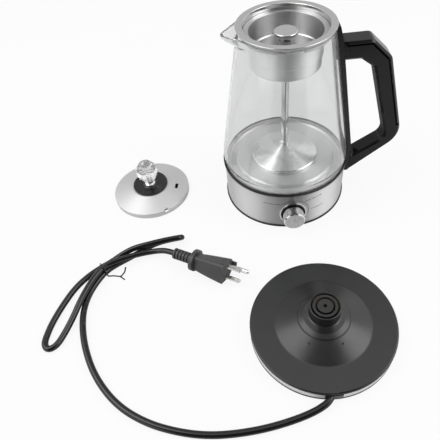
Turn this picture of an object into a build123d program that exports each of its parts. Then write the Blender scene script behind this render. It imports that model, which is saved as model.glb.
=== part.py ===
"""Glass percolator tea maker: jug, infuser, percolator stem, lid, and corded power base.

Everything stands on one table top at Z = 0. The jug's axis is the Z axis, the handle points along +X,
the pouring lip along -X and the control knob along -Y. Lengths are in millimetres.
"""

from build123d import *
import math
import os

os.makedirs("parts", exist_ok=True)

# ---------------------------------------------------------------- clearances between pieces
SEAT = 0.3          # between pieces that lift apart
SLIP = 0.2          # round a piece that drops into a hole of its own assembly
RUNNING = 0.06      # radial, shaft in its bearing

# ---------------------------------------------------------------- power base
BASE_X, BASE_Y = 8.1, -206.5
BASE_R = 70.0
BASE_TOP = 13.4             # height of the flat rim of the top cover
BASE_WALL = 2.0
FLOOR_GAP = 0.8             # underside above the table
RIM_BAND_HEIGHT = 7.7
RIM_BAND_WALL = 0.6
DOME_R = 46.0
DOME_SHOULDER_R = 25.2
DOME_SHOULDER_TOP = 23.4
NECK_TOP = 31.0
CONNECTOR_R = 14.6
CONNECTOR_TOP = 42.6
OUTER_GROOVE_R = 12.5       # middle of the ring groove
INNER_GROOVE_R = 8.2
GROOVE_WIDTH = 1.9
GROOVE_DEPTH = 9.0
CENTRE_HOLE_R = 1.7
CONTACT_WALL = 0.35
BASE_FOOT_R = 5.5
BASE_FOOT_PCD = 112.0
BASE_SCREW_PCD = 96.0
SCREW_R = 1.6
SCREW_HEAD_R = 3.2

# ---------------------------------------------------------------- mains cord and plug
CORD_D = 6.4
GLAND_WIDTH = 15.6
GLAND_X = BASE_X - 3.2
PLUG_ORIGIN = (-80.5, -136.4, 13.8)     # middle between the two blade roots
PLUG_ANGLE = -29.9                      # heading of the plug on the table, degrees from +X
PLUG_RISE = 1.5                         # its front end points up by this many degrees
PLUG_ROLL = 24.8                        # it rests on its round side, rolled by this much
PLUG_LENGTH = 36.0
FLANGE_THICK = 4.0
RELIEF_LENGTH = 24.4
BLADE_SPACING = 12.7
BLADE_LENGTH = 17.2
BLADE_WIDTH = 6.3
BLADE_THICK = 1.5
GROUND_OFFSET = 11.9
GROUND_R = 2.4
GROUND_LENGTH = 21.4
CABLE_OFFSET = 1.5                      # the cable's axis, towards the ground pin
TIE_WIRE_D = 1.5

# Free route of the cord, from the gland to the strain relief.
CORD_ROUTE = [
    (7.2, -269.0, 6.8),
    (1.4, -278.6, 6.2),
    (-8.8, -284.4, 4.8),
    (-25.0, -289.6, 3.6),
    (-50.0, -294.8, 3.3),
    (-76.0, -297.4, 3.3),
    (-104.0, -297.0, 3.3),
    (-131.0, -291.6, 3.3),
    (-160.0, -280.8, 3.3),
    (-187.4, -262.4, 3.3),
    (-210.0, -234.0, 3.3),
    (-223.8, -203.0, 3.3),
    (-230.4, -174.6, 3.3),
    (-230.6, -152.5, 3.3),
    (-225.2, -133.0, 3.3),
    (-213.4, -112.4, 3.3),
    (-200.2, -103.4, 3.3),
    (-188.0, -96.8, 3.3),
    (-177.0, -90.0, 3.3),
    (-166.0, -83.0, 3.3),
    (-154.5, -78.4, 3.3),
    (-142.4, -76.0, 3.3),
    (-131.8, -74.9, 3.3),
    (-127.5, -77.9, 7.6),
    (-129.6, -81.6, 11.9),
    (-140.4, -82.8, 12.1),
    (-152.6, -84.4, 11.9),
    (-166.4, -86.6, 11.4),
    (-178.2, -88.4, 10.7),
    (-188.0, -90.4, 8.6),
    (-197.6, -93.2, 5.2),
    (-207.4, -99.5, 3.4),
    (-218.0, -105.8, 3.3),
    (-232.0, -116.6, 3.3),
    (-244.4, -131.0, 3.3),
    (-254.4, -152.0, 3.3),
    (-261.0, -170.0, 3.3),
    (-263.8, -182.0, 3.3),
    (-265.4, -193.8, 3.3),
    (-260.6, -201.2, 3.3),
    (-252.4, -197.8, 3.3),
    (-246.6, -185.8, 3.6),
    (-239.4, -169.0, 6.2),
    (-233.8, -153.5, 9.6),
    (-228.0, -137.0, 10.2),
    (-221.0, -121.4, 10.2),
    (-213.4, -111.0, 10.0),
    (-202.0, -104.9, 10.2),
    (-188.4, -100.9, 10.0),
    (-176.4, -96.6, 8.2),
    (-165.0, -94.6, 7.4),
    (-154.8, -94.8, 8.4),
]
CORD_LEAD = 10.0            # straight run of the cord in front of the strain relief

# ---------------------------------------------------------------- jug
BAND_R = 70.5
FOOT_R = BAND_R + 1.3
FOOT_INNER_R = FOOT_R - 11.8
FOOT_LIP = 1.8
BAND_WALL = 0.8
BAND_TOP = 48.2
RING_R = BAND_R + 1.4
RING_TOP = 51.0
COVER_WALL = 2.0
SOCKET_R = 15.0             # bore of the power socket
SOCKET_MOUTH = 18.2
SOCKET_DEPTH = 12.8
PLATE_TOP = 51.2            # heating plate
PLATE_R = BAND_R - 15.5
PLATE_SHEET = 0.9
TROUGH_TOP = 46.8
PLATE_FLANGE_TOP = 48.6
GASKET_THICK = 1.0
GLASS_WALL = 2.6
GLASS_FOOT_R = BAND_R - 0.4
GLASS_BULGE_R = BAND_R + 0.4
GLASS_BULGE_Z = 58.0
GLASS_MOUTH_R = 46.6
GLASS_TOP = 199.7
LIP_DROP = 1.65             # the tip lies this much below the rim
LIP_ROUND = 7.5             # rounding of the lip's tip in plan
LIP_WALL = 3.4              # measured along X at the tip
LIP_LEVELS = [              # depth below the rim, reach beyond the round body
    (12.7, 1.0),
    (8.7, 6.1),
    (4.7, 15.2),
    (0.0, 17.8),
]
SPREADER_R = 38.0
SPREADER_THICK = 3.5
ELEMENT_R = 34.0
ELEMENT_D = 7.4

# ---------------------------------------------------------------- control knob
KNOB_Z = 22.0
KNOB_R = 11.9
KNOB_FACE = BAND_R + 14.4            # front of the knob from the jug's axis
KNOB_BACK = BAND_R + 0.9
SHAFT_R = 3.0
BEZEL_R = 13.9
BEZEL_FRONT = BAND_R + 1.9
BEZEL_CUP_R = 12.4
BEZEL_FLOOR = BAND_R - 2.1
TRIM_R = 15.2

# ---------------------------------------------------------------- handle (outline in the XZ plane)
HANDLE_WIDTH = 21.0
HANDLE_TOP = GLASS_TOP - 16.3
STRAP_THICK = 4.2
STRAP_TOP = GLASS_TOP - 0.7
HANDLE_FOOT_Z = 22.2
COVER_THICK = 4.4
HANDLE_KNEE = (BAND_R + 12.5, HANDLE_TOP)
HANDLE_SHOULDER = (BAND_R + 33.1, HANDLE_TOP - 19.6)
HANDLE_ELBOW = (BAND_R + 61.1, 66.4)
HANDLE_HEEL = (BAND_R + 6.1, HANDLE_FOOT_Z)
FINGER_ROOT_TOP = HANDLE_TOP - 18.6
FINGER_KNEE = (BAND_R + 2.5, FINGER_ROOT_TOP)
FINGER_SHOULDER = (BAND_R + 17.1, FINGER_ROOT_TOP - 10.8)
FINGER_ELBOW = (BAND_R + 43.1, 66.6)
FINGER_HEEL = (BAND_R + 8.1, 44.4)
PIN_Z = HANDLE_TOP - 7.4    # cross pin that holds the handle to its strap
PIN_DEPTH = 4.3             # of the pin behind the strap's face
PIN_R = 1.3
SCREW_Z = HANDLE_FOOT_Z + 12.0
SCREW_LENGTH = 16.0

# ---------------------------------------------------------------- infuser
FLANGE_R = 47.7
SHEET = 0.8
SEAL_RIM = GLASS_TOP + SEAT         # underside of the seal's rim
FLANGE_LOW = SEAL_RIM + 2.2
FLANGE_TOP = FLANGE_LOW + 1.0
RECESS_R = 40.9
LEDGE_Z = FLANGE_TOP - 6.4          # the basket hangs on this ledge
BASKET_MOUTH_R = 35.4
BASKET_STEP = 1.0                   # the wall steps in by this much
BASKET_STEP_Z = LEDGE_Z - 20.8
BASKET_FLOOR = LEDGE_Z - 33.2
SEAL_R = 43.2
SEAL_LOW = FLANGE_LOW - 7.4
SEAL_NOTCH = (-108.0, -76.0)        # window of the seal round the collar's lug, degrees
LUG_ANGLE = -102.0
LUG_WIDTH = 6.6
SPRAY_WINDOW = 6.0
SLEEVE_TOP = FLANGE_TOP - 15.8
CAP_R = 11.5
CAP_ROOF = SLEEVE_TOP + 3.4
CAP_TOP = CAP_ROOF + 5.6
CAP_DISC_THICK = 3.2

# ---------------------------------------------------------------- percolator stem
TUBE_R = 4.1
TUBE_BORE_R = 3.3
TUBE_TOP = SLEEVE_TOP - 3.0
TUBE_FOOT = 60.0
BELL_R = 37.6
BELL_RIM = 2.2
BELL_APEX_Z = 67.4

# ---------------------------------------------------------------- lid, lying beside the jug
LID_X, LID_Y = -167.1, 10.8
LID_R = 46.75
LID_RIM = 5.6
LID_CREST_R = 22.5
LID_CREST_Z = 12.6
LID_DISC_R = 21.3
LID_DISC_THICK = 2.2
LID_SKIRT_R = 40.5
LID_KNOB_R = 13.5
LID_KNOB_FOOT = 20.6
LID_KNOB_TOP = 46.0
LID_SCREW_R = 1.9


# ================================================================ shared operations
def upright_axis(centre):
    return Axis((centre[0], centre[1], 0), (0, 0, 1))


def upright_plane(centre):
    """The XZ plane moved so that its origin lies on the upright line at centre."""
    return Plane(origin=(centre[0], centre[1], 0), x_dir=(1, 0, 0), z_dir=(0, -1, 0))


def turn(points, centre=(0.0, 0.0), mode=Mode.ADD, radius=0):
    """Revolve a closed outline of (radius, height) points about the upright line at centre."""
    with BuildSketch(upright_plane(centre)) as outline:
        with BuildLine():
            FilletPolyline(*points, radius=radius, close=True)
        make_face()
    revolve(outline.sketch, axis=upright_axis(centre), mode=mode)


def ring(outer, inner, low, high, centre=(0.0, 0.0), mode=Mode.ADD):
    """A plain ring or, with inner = 0, a disc."""
    turn([(inner, low), (outer, low), (outer, high), (inner, high)], centre, mode)


def polar(radius, angle, centre=(0.0, 0.0), z=0.0):
    """A point at an angle in degrees round the upright line at centre."""
    turn_angle = math.radians(angle)
    return (centre[0] + radius * math.cos(turn_angle), centre[1] + radius * math.sin(turn_angle), z)


def drill(point, direction, radius, length, mode=Mode.ADD):
    """A round bar of the given length from point along direction."""
    with BuildSketch(Plane(origin=point, z_dir=direction)) as section:
        Circle(radius)
    extrude(section.sketch, amount=length, mode=mode)


def parallel_path(points, distance):
    """The open path that runs to the right of points at the given distance."""
    shifted = []
    for index, point in enumerate(points):
        normals = []
        for first, second in ((index - 1, index), (index, index + 1)):
            if first < 0 or second >= len(points):
                continue
            step_x = points[second][0] - points[first][0]
            step_y = points[second][1] - points[first][1]
            length = math.hypot(step_x, step_y)
            normals.append((step_y / length, -step_x / length))
        mean_x = sum(n[0] for n in normals) / len(normals)
        mean_y = sum(n[1] for n in normals) / len(normals)
        scale = distance / (mean_x ** 2 + mean_y ** 2)
        shifted.append((point[0] + mean_x * scale, point[1] + mean_y * scale))
    return shifted


def along(start, end, height):
    """The radius at a height on the straight line between two (radius, height) points."""
    share = (height - start[1]) / (end[1] - start[1])
    return start[0] + (end[0] - start[0]) * share


def finish(builder, name):
    """Label a finished piece and write it."""
    builder.part.label = name
    export_step(builder.part, f"parts/{name}.step")


# ================================================================ power base
BASE = (BASE_X, BASE_Y)
band_low = FLOOR_GAP + BASE_WALL
band_high = band_low + RIM_BAND_HEIGHT
skirt_outer = BASE_R - 0.4 - RIM_BAND_WALL
skirt_inner = skirt_outer - BASE_WALL
neck_r = CONNECTOR_R + SLIP
dome_outline = [
    (BASE_R, band_high),
    (BASE_R, BASE_TOP),
    (DOME_R, BASE_TOP + 0.8),
    (DOME_SHOULDER_R, DOME_SHOULDER_TOP),
    (DOME_SHOULDER_R - 1.0, DOME_SHOULDER_TOP + 1.2),
    (CONNECTOR_R + 5.0, DOME_SHOULDER_TOP + 3.2),
    (CONNECTOR_R + 1.4, NECK_TOP - 0.8),
    (neck_r, NECK_TOP),
    (neck_r, NECK_TOP - 3.0),
    (CONNECTOR_R + 4.6, DOME_SHOULDER_TOP + 0.8),
    (DOME_SHOULDER_R - 1.4, DOME_SHOULDER_TOP - 1.6),
    (DOME_R - 0.6, BASE_TOP - 1.2),
    (skirt_inner, BASE_TOP - BASE_WALL),
    (skirt_inner, band_low),
    (skirt_outer, band_low),
    (skirt_outer, band_high),
]
dome_rounds = [0, 1.4, 5.0, 0.8, 0.5, 2.0, 0.8, 0, 0, 0, 0, 3.0, 0, 0, 0, 0]

# The moulded notch in the rim through which the cord leaves.
notch_half = GLAND_WIDTH / 2
gland_front = BASE_Y - math.sqrt(BASE_R ** 2 - (GLAND_X - BASE_X) ** 2)
gland_depth = 9.0


def gland_slot(half_width, low, high, mode):
    """A block across the rim at the cord exit."""
    with BuildSketch(Plane.XY.offset(low)) as block:
        with Locations((GLAND_X, gland_front + gland_depth / 2 - 1.0)):
            Rectangle(2 * half_width, gland_depth + 2.0)
    extrude(block.sketch, amount=high - low, mode=mode)


with BuildPart() as base_top_cover:
    turn(dome_outline, BASE, radius=dome_rounds)
    gland_slot(notch_half + SLIP, band_low, band_high, Mode.SUBTRACT)
    # two ejector dimples and a small sight hole on the shoulder of the dome
    for dimple_angle in (-127.0, -66.4):
        drill(polar(30.6, dimple_angle, BASE, 19.6), (0, 0, 1), 0.8, 2.4)
finish(base_top_cover, "base_top_cover")

with BuildPart() as base_rim_band:
    ring(BASE_R - 0.4, BASE_R - 0.4 - RIM_BAND_WALL, band_low, band_high, BASE)
    gland_slot(notch_half + SLIP, band_low - 1.0, band_high + 1.0, Mode.SUBTRACT)
finish(base_rim_band, "base_rim_band")

connector_floor = NECK_TOP - 7.4
connector_flange_r = CONNECTOR_R + 3.0
foot_points = [polar(BASE_FOOT_PCD / 2, angle, BASE) for angle in (45, 135, 225, 315)]
screw_points = [polar(BASE_SCREW_PCD / 2, angle, BASE) for angle in (90, 210, 330)]
post_top = BASE_TOP - BASE_WALL - 0.2

with BuildPart() as base_bottom_cover:
    ring(BASE_R - 0.2, 0, FLOOR_GAP, band_low, BASE)
    # column that holds up the connector, and the screw posts
    ring(CONNECTOR_R - 1.0, CONNECTOR_R - 3.4, band_low, connector_floor - 2.0, BASE)
    for point in screw_points:
        drill((point[0], point[1], band_low), (0, 0, 1), 4.2, post_top - band_low)
    for point in screw_points:
        drill((point[0], point[1], FLOOR_GAP), (0, 0, 1), SCREW_R + SLIP, post_top, Mode.SUBTRACT)
        drill((point[0], point[1], FLOOR_GAP), (0, 0, 1), SCREW_HEAD_R + SLIP, 1.2, Mode.SUBTRACT)
    for point in foot_points:
        drill((point[0], point[1], FLOOR_GAP), (0, 0, 1), BASE_FOOT_R + SLIP, 0.8, Mode.SUBTRACT)
finish(base_bottom_cover, "base_bottom_cover")

with BuildPart() as base_feet:
    for point in foot_points:
        drill(point, (0, 0, 1), BASE_FOOT_R, FLOOR_GAP + 0.8)
finish(base_feet, "base_feet")

with BuildPart() as base_screws:
    for point in screw_points:
        drill((point[0], point[1], FLOOR_GAP + 0.1), (0, 0, 1), SCREW_HEAD_R, 1.1)
        drill((point[0], point[1], FLOOR_GAP + 1.2), (0, 0, 1), SCREW_R, post_top - FLOOR_GAP - 1.8)
finish(base_screws, "base_screws")

undercut_low = NECK_TOP - 0.8             # groove round the boss where it leaves the neck
undercut_top = NECK_TOP + 0.4
undercut_r = CONNECTOR_R - 0.5
groove_floor = CONNECTOR_TOP - GROOVE_DEPTH
groove_half = GROOVE_WIDTH / 2

with BuildPart() as base_connector:
    turn(
        [
            (0, connector_floor - 2.0),
            (connector_flange_r, connector_floor - 2.0),
            (connector_flange_r, connector_floor),
            (CONNECTOR_R, connector_floor),
            (CONNECTOR_R, undercut_low),
            (undercut_r, undercut_low),
            (undercut_r, undercut_top),
            (CONNECTOR_R, undercut_top),
            (CONNECTOR_R, CONNECTOR_TOP),
            (0, CONNECTOR_TOP),
        ],
        BASE,
        radius=[0, 0, 0, 0, 0, 0, 0, 0, 0.8, 0],
    )
    for groove_r in (OUTER_GROOVE_R, INNER_GROOVE_R):
        ring(groove_r + groove_half, groove_r - groove_half, groove_floor, CONNECTOR_TOP, BASE, Mode.SUBTRACT)
    ring(CENTRE_HOLE_R, 0, groove_floor, CONNECTOR_TOP, BASE, Mode.SUBTRACT)
finish(base_connector, "base_connector")

contact_top = CONNECTOR_TOP - 2.5
outer_wall_r = OUTER_GROOVE_R + groove_half
inner_wall_r = INNER_GROOVE_R + groove_half

with BuildPart() as connector_contacts:
    for wall_r in (outer_wall_r, inner_wall_r, CENTRE_HOLE_R):
        ring(wall_r, wall_r - CONTACT_WALL, groove_floor, contact_top, BASE)
finish(connector_contacts, "connector_contacts")

with BuildPart() as cord_gland:
    gland_slot(notch_half, band_low, band_high, Mode.ADD)
    ring(BASE_R + 0.6, 0, band_low, band_high, BASE, Mode.INTERSECT)
finish(cord_gland, "cord_gland")

# ================================================================ plug
plug_turn = math.radians(PLUG_ANGLE)
plug_rise = math.radians(PLUG_RISE)
plug_axis = Vector(
    math.cos(plug_turn) * math.cos(plug_rise),
    math.sin(plug_turn) * math.cos(plug_rise),
    math.sin(plug_rise),
)
plug_side = Vector(-math.sin(plug_turn), math.cos(plug_turn), 0).rotate(Axis((0, 0, 0), plug_axis), -PLUG_ROLL)
plug_up = plug_axis.cross(plug_side)


def plug_plane(distance):
    """Cross-section of the plug at a distance ahead of the blade roots: X to the ground pin."""
    return Plane(origin=Vector(*PLUG_ORIGIN) + plug_axis * distance, x_dir=plug_side, z_dir=plug_axis)


def plug_section(distance, blade_edge, ground_edge, half_height, corner):
    """A D-shaped section: flat towards the blades, round towards the ground pin."""
    with BuildSketch(plug_plane(distance)) as section:
        with BuildLine():
            FilletPolyline(
                (blade_edge, half_height),
                (blade_edge, -half_height),
                (ground_edge, -half_height),
                (ground_edge, half_height),
                radius=[corner, corner, half_height - 0.6, half_height - 0.6],
                close=True,
            )
        make_face()
    return section.sketch


with BuildPart() as plug_body:
    # front end, tapering back to the finger flange
    loft([
        plug_section(0, -10.3, 16.0, 11.8, 3.6),
        plug_section(-PLUG_LENGTH * 0.5, -8.6, 12.8, 10.4, 3.4),
        plug_section(-PLUG_LENGTH, -6.4, 9.4, 8.2, 3.0),
    ])
    with BuildSketch(plug_plane(-PLUG_LENGTH - FLANGE_THICK)) as flange:
        with Locations((CABLE_OFFSET, 0)):
            Ellipse(12.8, 11.7)
    extrude(flange.sketch, amount=FLANGE_THICK)
    # guard tab beyond the ground pin
    with BuildSketch(plug_plane(-2.0)) as tab:
        with Locations((GROUND_OFFSET + 4.0, 0)):
            RectangleRounded(2.6, 9.6, 1.2)
    extrude(tab.sketch, amount=6.4)
    # sockets of the pins
    for height in (-BLADE_SPACING / 2, BLADE_SPACING / 2):
        with BuildSketch(plug_plane(-8.0)) as slot:
            with Locations((0, height)):
                Rectangle(BLADE_WIDTH, BLADE_THICK)
        extrude(slot.sketch, amount=8.0, mode=Mode.SUBTRACT)
    with BuildSketch(plug_plane(-8.0)) as pin_hole:
        with Locations((GROUND_OFFSET, 0)):
            Circle(GROUND_R)
    extrude(pin_hole.sketch, amount=8.0, mode=Mode.SUBTRACT)
finish(plug_body, "plug_body")

relief_start = -PLUG_LENGTH - FLANGE_THICK - RELIEF_LENGTH
rib_pitch = 3.9
rib_count = 6

with BuildPart() as plug_relief:
    with BuildSketch(plug_plane(relief_start)):
        with Locations((CABLE_OFFSET, 0)):
            Circle(4.5)
    with BuildSketch(plug_plane(-PLUG_LENGTH - FLANGE_THICK)):
        with Locations((CABLE_OFFSET, 0)):
            Circle(5.2)
    loft()
    for rib in range(rib_count):
        with BuildSketch(plug_plane(relief_start + 0.6 + rib * rib_pitch)) as rib_ring:
            with Locations((CABLE_OFFSET, 0)):
                Circle(6.1)
        extrude(rib_ring.sketch, amount=rib_pitch * 0.58)
finish(plug_relief, "plug_relief")

blade_tail = 8.0
with BuildPart() as plug_blades:
    for height in (-BLADE_SPACING / 2, BLADE_SPACING / 2):
        blade_middle = (BLADE_LENGTH - blade_tail) / 2
        origin = Vector(*PLUG_ORIGIN) + plug_axis * blade_middle + plug_up * (height - BLADE_THICK / 2)
        with BuildSketch(Plane(origin=origin, x_dir=plug_axis, z_dir=plug_up)) as blade:
            RectangleRounded(BLADE_LENGTH + blade_tail, BLADE_WIDTH, 1.6)
            with Locations((BLADE_LENGTH - 4.2 - blade_middle, 0)):
                Circle(1.6, mode=Mode.SUBTRACT)
        extrude(blade.sketch, amount=BLADE_THICK)
finish(plug_blades, "plug_blades")

with BuildPart() as plug_ground_pin:
    with BuildSketch(plug_plane(-8.0)) as pin_section:
        with Locations((GROUND_OFFSET, 0)):
            Circle(GROUND_R)
    extrude(pin_section.sketch, amount=8.0 + GROUND_LENGTH)
    fillet(plug_ground_pin.faces().sort_by(Axis(PLUG_ORIGIN, plug_axis))[-1].edges(), GROUND_R * 0.75)
finish(plug_ground_pin, "plug_ground_pin")

# ================================================================ mains cord
relief_mouth = plug_plane(relief_start).from_local_coords((CABLE_OFFSET, 0, 0))
relief_lead = relief_mouth - plug_axis * CORD_LEAD
cord_points = [Vector(*point) for point in CORD_ROUTE] + [relief_lead, relief_mouth]


def bend_radii(points):
    """The largest arc that the runs on both sides of each inner point allow."""
    radii = []
    for before, here, after in zip(points, points[1:], points[2:]):
        run_in = here - before
        run_out = after - here
        half_turn = math.radians(run_in.get_angle(run_out)) / 2
        radii.append(0.45 * min(run_in.length, run_out.length) / math.tan(half_turn))
    return radii


cord_radii = bend_radii(cord_points)
print("cord bend radii:", [round(radius, 1) for radius in cord_radii])

with BuildPart() as mains_cord:
    with BuildLine() as cord_path:
        FilletPolyline(*cord_points, radius=cord_radii)
    with BuildSketch(Plane(origin=cord_points[0], z_dir=cord_points[1] - cord_points[0])):
        Circle(CORD_D / 2)
    sweep()
finish(mains_cord, "mains_cord")
cord_length = cord_path.wire().length
cord_section = math.pi * (CORD_D / 2) ** 2
print("cord length", round(cord_length, 1), "volume share", mains_cord.part.volume / (cord_section * cord_length))

# Twist tie: bent over the three strands, its end twisted into a loop on the table.
tie_centre = Vector(-215.7, -109.1, 0)
tie_across = Vector(-0.53, 0.85, 0).normalized()
tie_arch = [(8.2, 0.9), (8.2, 5.2), (-2.2, 14.5), (-7.3, 14.5), (-9.5, 3.4), (-9.7, 0.9)]
tie_path = [tie_centre + tie_across * across + Vector(0, 0, height) for across, height in tie_arch]
tie_path += [
    Vector(-204.6, -117.6, 0.9),
    Vector(-196.2, -119.6, 0.9),
    Vector(-192.6, -114.0, 0.9),
    Vector(-192.2, -107.6, 0.9),
]
tie_stub = [(-197.6, -119.0, 0.9), (-191.8, -124.2, 0.9)]

with BuildPart() as cord_tie:
    with BuildLine():
        FilletPolyline(*tie_path, radius=[min(2.0, 0.8 * radius) for radius in bend_radii(tie_path)])
    with BuildSketch(Plane(origin=tie_path[0], z_dir=tie_path[1] - tie_path[0])):
        Circle(TIE_WIRE_D / 2)
    sweep()
    stub_run = Vector(*tie_stub[1]) - Vector(*tie_stub[0])
    drill(tie_stub[0], stub_run, TIE_WIRE_D / 2, stub_run.length)
finish(cord_tie, "cord_tie")

# ================================================================ jug: heater section
cover_floor = FOOT_LIP + COVER_WALL - 0.2
cover_inner_r = BAND_R - BAND_WALL - 0.1
socket_shell_r = SOCKET_R + 5.0
socket_hole_r = socket_shell_r + SLIP
socket_seat = SOCKET_MOUTH + 2.2

with BuildPart() as jug_bottom_cover:
    turn(
        [
            (FOOT_INNER_R, 0),
            (FOOT_R, 0),
            (FOOT_R, FOOT_LIP),
            (cover_inner_r, FOOT_LIP),
            (cover_inner_r, FOOT_LIP + 5.4),
            (cover_inner_r - COVER_WALL, FOOT_LIP + 5.4),
            (cover_inner_r - COVER_WALL, cover_floor),
            (DOME_R + 4.5, cover_floor),
            (DOME_SHOULDER_R + 3.0, SOCKET_MOUTH - 3.6),
            (socket_shell_r + 4.4, socket_seat),
            (socket_hole_r, socket_seat),
            (socket_hole_r, SOCKET_MOUTH),
            (socket_shell_r + 2.4, SOCKET_MOUTH),
            (DOME_SHOULDER_R + 1.6, SOCKET_MOUTH - 6.0),
            (DOME_R + 3.6, 1.2),
            (FOOT_INNER_R, 1.2),
        ],
    )
finish(jug_bottom_cover, "jug_bottom_cover")

with BuildPart() as jug_socket:
    turn(
        [
            (SOCKET_R, SOCKET_MOUTH),
            (socket_shell_r, SOCKET_MOUTH),
            (socket_shell_r, socket_seat),
            (socket_shell_r + 4.0, socket_seat),
            (socket_shell_r + 4.0, socket_seat + 2.0),
            (socket_shell_r, socket_seat + 2.0),
            (socket_shell_r, SOCKET_MOUTH + SOCKET_DEPTH + 3.0),
            (0, SOCKET_MOUTH + SOCKET_DEPTH + 3.0),
            (0, SOCKET_MOUTH + SOCKET_DEPTH),
            (SOCKET_R, SOCKET_MOUTH + SOCKET_DEPTH),
        ],
    )
finish(jug_socket, "jug_socket")

with BuildPart() as socket_contacts:
    roof = SOCKET_MOUTH + SOCKET_DEPTH
    for contact_r in (OUTER_GROOVE_R, INNER_GROOVE_R):
        ring(contact_r + 0.35, contact_r - 0.35, roof - 5.0, roof)
    ring(1.1, 0, roof - 5.4, roof)
finish(socket_contacts, "socket_contacts")

bezel_hole_r = BEZEL_R + SLIP


def knob_bar(radius, near, far, mode=Mode.ADD):
    """A round bar along the knob's axis between two distances from the jug's axis."""
    drill((0, -near, KNOB_Z), (0, -1, 0), radius, far - near, mode)


with BuildPart() as jug_band:
    ring(BAND_R, BAND_R - BAND_WALL, FOOT_LIP, BAND_TOP)
    knob_bar(bezel_hole_r, BAND_R - 10, BAND_R + 5, Mode.SUBTRACT)
    # hole for the lower handle screw
    drill((BAND_R - 5, 0, SCREW_Z), (1, 0, 0), 2.4, 10, Mode.SUBTRACT)
finish(jug_band, "jug_band")

ring_wall_r = GLASS_FOOT_R + SLIP
plate_flange_r = GLASS_FOOT_R - 1.7
plate_well_r = plate_flange_r + SLIP
plate_seat = PLATE_FLANGE_TOP - PLATE_SHEET

with BuildPart() as jug_top_ring:
    turn(
        [
            (BAND_R - 4.1, plate_seat - 1.5),
            (cover_inner_r, plate_seat - 1.5),
            (cover_inner_r, BAND_TOP),
            (RING_R, BAND_TOP),
            (RING_R, RING_TOP),
            (ring_wall_r, RING_TOP),
            (ring_wall_r, PLATE_FLANGE_TOP),
            (plate_well_r, PLATE_FLANGE_TOP),
            (plate_well_r, plate_seat),
            (BAND_R - 4.1, plate_seat),
        ],
        radius=[0, 0, 0, 0, 0.8, 0, 0, 0, 0, 0],
    )
finish(jug_top_ring, "jug_top_ring")

plate_surface = [
    (0, PLATE_TOP),
    (PLATE_R, PLATE_TOP),
    (PLATE_R + 1.6, PLATE_TOP - 1.2),
    (PLATE_R + 2.6, TROUGH_TOP),
    (PLATE_R + 7.6, TROUGH_TOP),
    (PLATE_R + 9.2, PLATE_FLANGE_TOP),
    (plate_flange_r, PLATE_FLANGE_TOP),
]
plate_underside = parallel_path(plate_surface, PLATE_SHEET)

with BuildPart() as heating_plate:
    turn(plate_surface + plate_underside[::-1])
    ring(BELL_R + 2.2, BELL_R + 1.0, PLATE_TOP - 0.4, PLATE_TOP + 1, mode=Mode.SUBTRACT)
finish(heating_plate, "heating_plate")

gasket_top = PLATE_FLANGE_TOP + GASKET_THICK

with BuildPart() as glass_gasket:
    turn(
        [
            (PLATE_R + 9.8, PLATE_FLANGE_TOP),
            (GLASS_FOOT_R, PLATE_FLANGE_TOP),
            (GLASS_FOOT_R, gasket_top),
            (GLASS_FOOT_R - GLASS_WALL - 0.2, gasket_top),
            (GLASS_FOOT_R - GLASS_WALL - 0.4, gasket_top + 1.2),
            (PLATE_R + 10.6, gasket_top + 0.6),
        ],
    )
finish(glass_gasket, "glass_gasket")

spreader_top = PLATE_TOP - PLATE_SHEET
spreader_low = spreader_top - SPREADER_THICK
with BuildPart() as heater_spreader:
    ring(SPREADER_R, 0, spreader_low, spreader_top - 0.6)
finish(heater_spreader, "heater_spreader")

element_z = spreader_low - ELEMENT_D / 2
with BuildPart() as heater_tube:
    with BuildLine(Plane.XY.offset(element_z)) as element_path:
        CenterArc((0, 0), ELEMENT_R - ELEMENT_D / 2, 110, 320)
    with BuildSketch(Plane(origin=element_path.line @ 0, z_dir=element_path.line % 0)):
        Circle(ELEMENT_D / 2)
    sweep()
finish(heater_tube, "heater_tube")

with BuildPart() as thermal_cutout:
    ring(8.0, 0, spreader_low - 6.0, spreader_low)
    with BuildSketch(Plane.XY.offset(spreader_low - 1.5)) as ears:
        Rectangle(24, 6)
    extrude(ears.sketch, amount=1.5)
finish(thermal_cutout, "thermal_cutout")

# ================================================================ jug: glass
glass_outer = [
    (GLASS_FOOT_R, gasket_top),
    (GLASS_FOOT_R, RING_TOP + 0.3),
    (GLASS_BULGE_R, GLASS_BULGE_Z),
    (GLASS_BULGE_R - 1.0, GLASS_BULGE_Z + 8.0),
    (GLASS_MOUTH_R, GLASS_TOP),
]
taper_foot = glass_outer[3]
taper_top = glass_outer[4]


def glass_radius(height):
    """Outer radius of the glass on its taper."""
    return along(taper_foot, taper_top, height)


glass_inner_foot_r = GLASS_FOOT_R - GLASS_WALL
glass_inner = [
    (glass_inner_foot_r, gasket_top - 1),
    (glass_inner_foot_r, RING_TOP + 0.8),
    (GLASS_BULGE_R - GLASS_WALL, GLASS_BULGE_Z + 0.5),
    (GLASS_BULGE_R - 1.0 - GLASS_WALL, GLASS_BULGE_Z + 8.0),
    (glass_radius(GLASS_TOP + 5) - GLASS_WALL, GLASS_TOP + 5),
]


def lip_section(height, body_r, tip, tip_round):
    """Plan of the pouring lip: two walls that run from the round body to a rounded tip."""
    open_angle = math.acos(body_r / tip)
    root_x = -body_r * math.cos(open_angle)
    root_y = body_r * math.sin(open_angle)
    with BuildSketch(Plane.XY.offset(height)) as section:
        with BuildLine():
            FilletPolyline((root_x, root_y), (-tip, 0), (root_x, -root_y), radius=[tip_round])
            Line((root_x, -root_y), (root_x, root_y))
        make_face()
    return section.sketch


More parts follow.
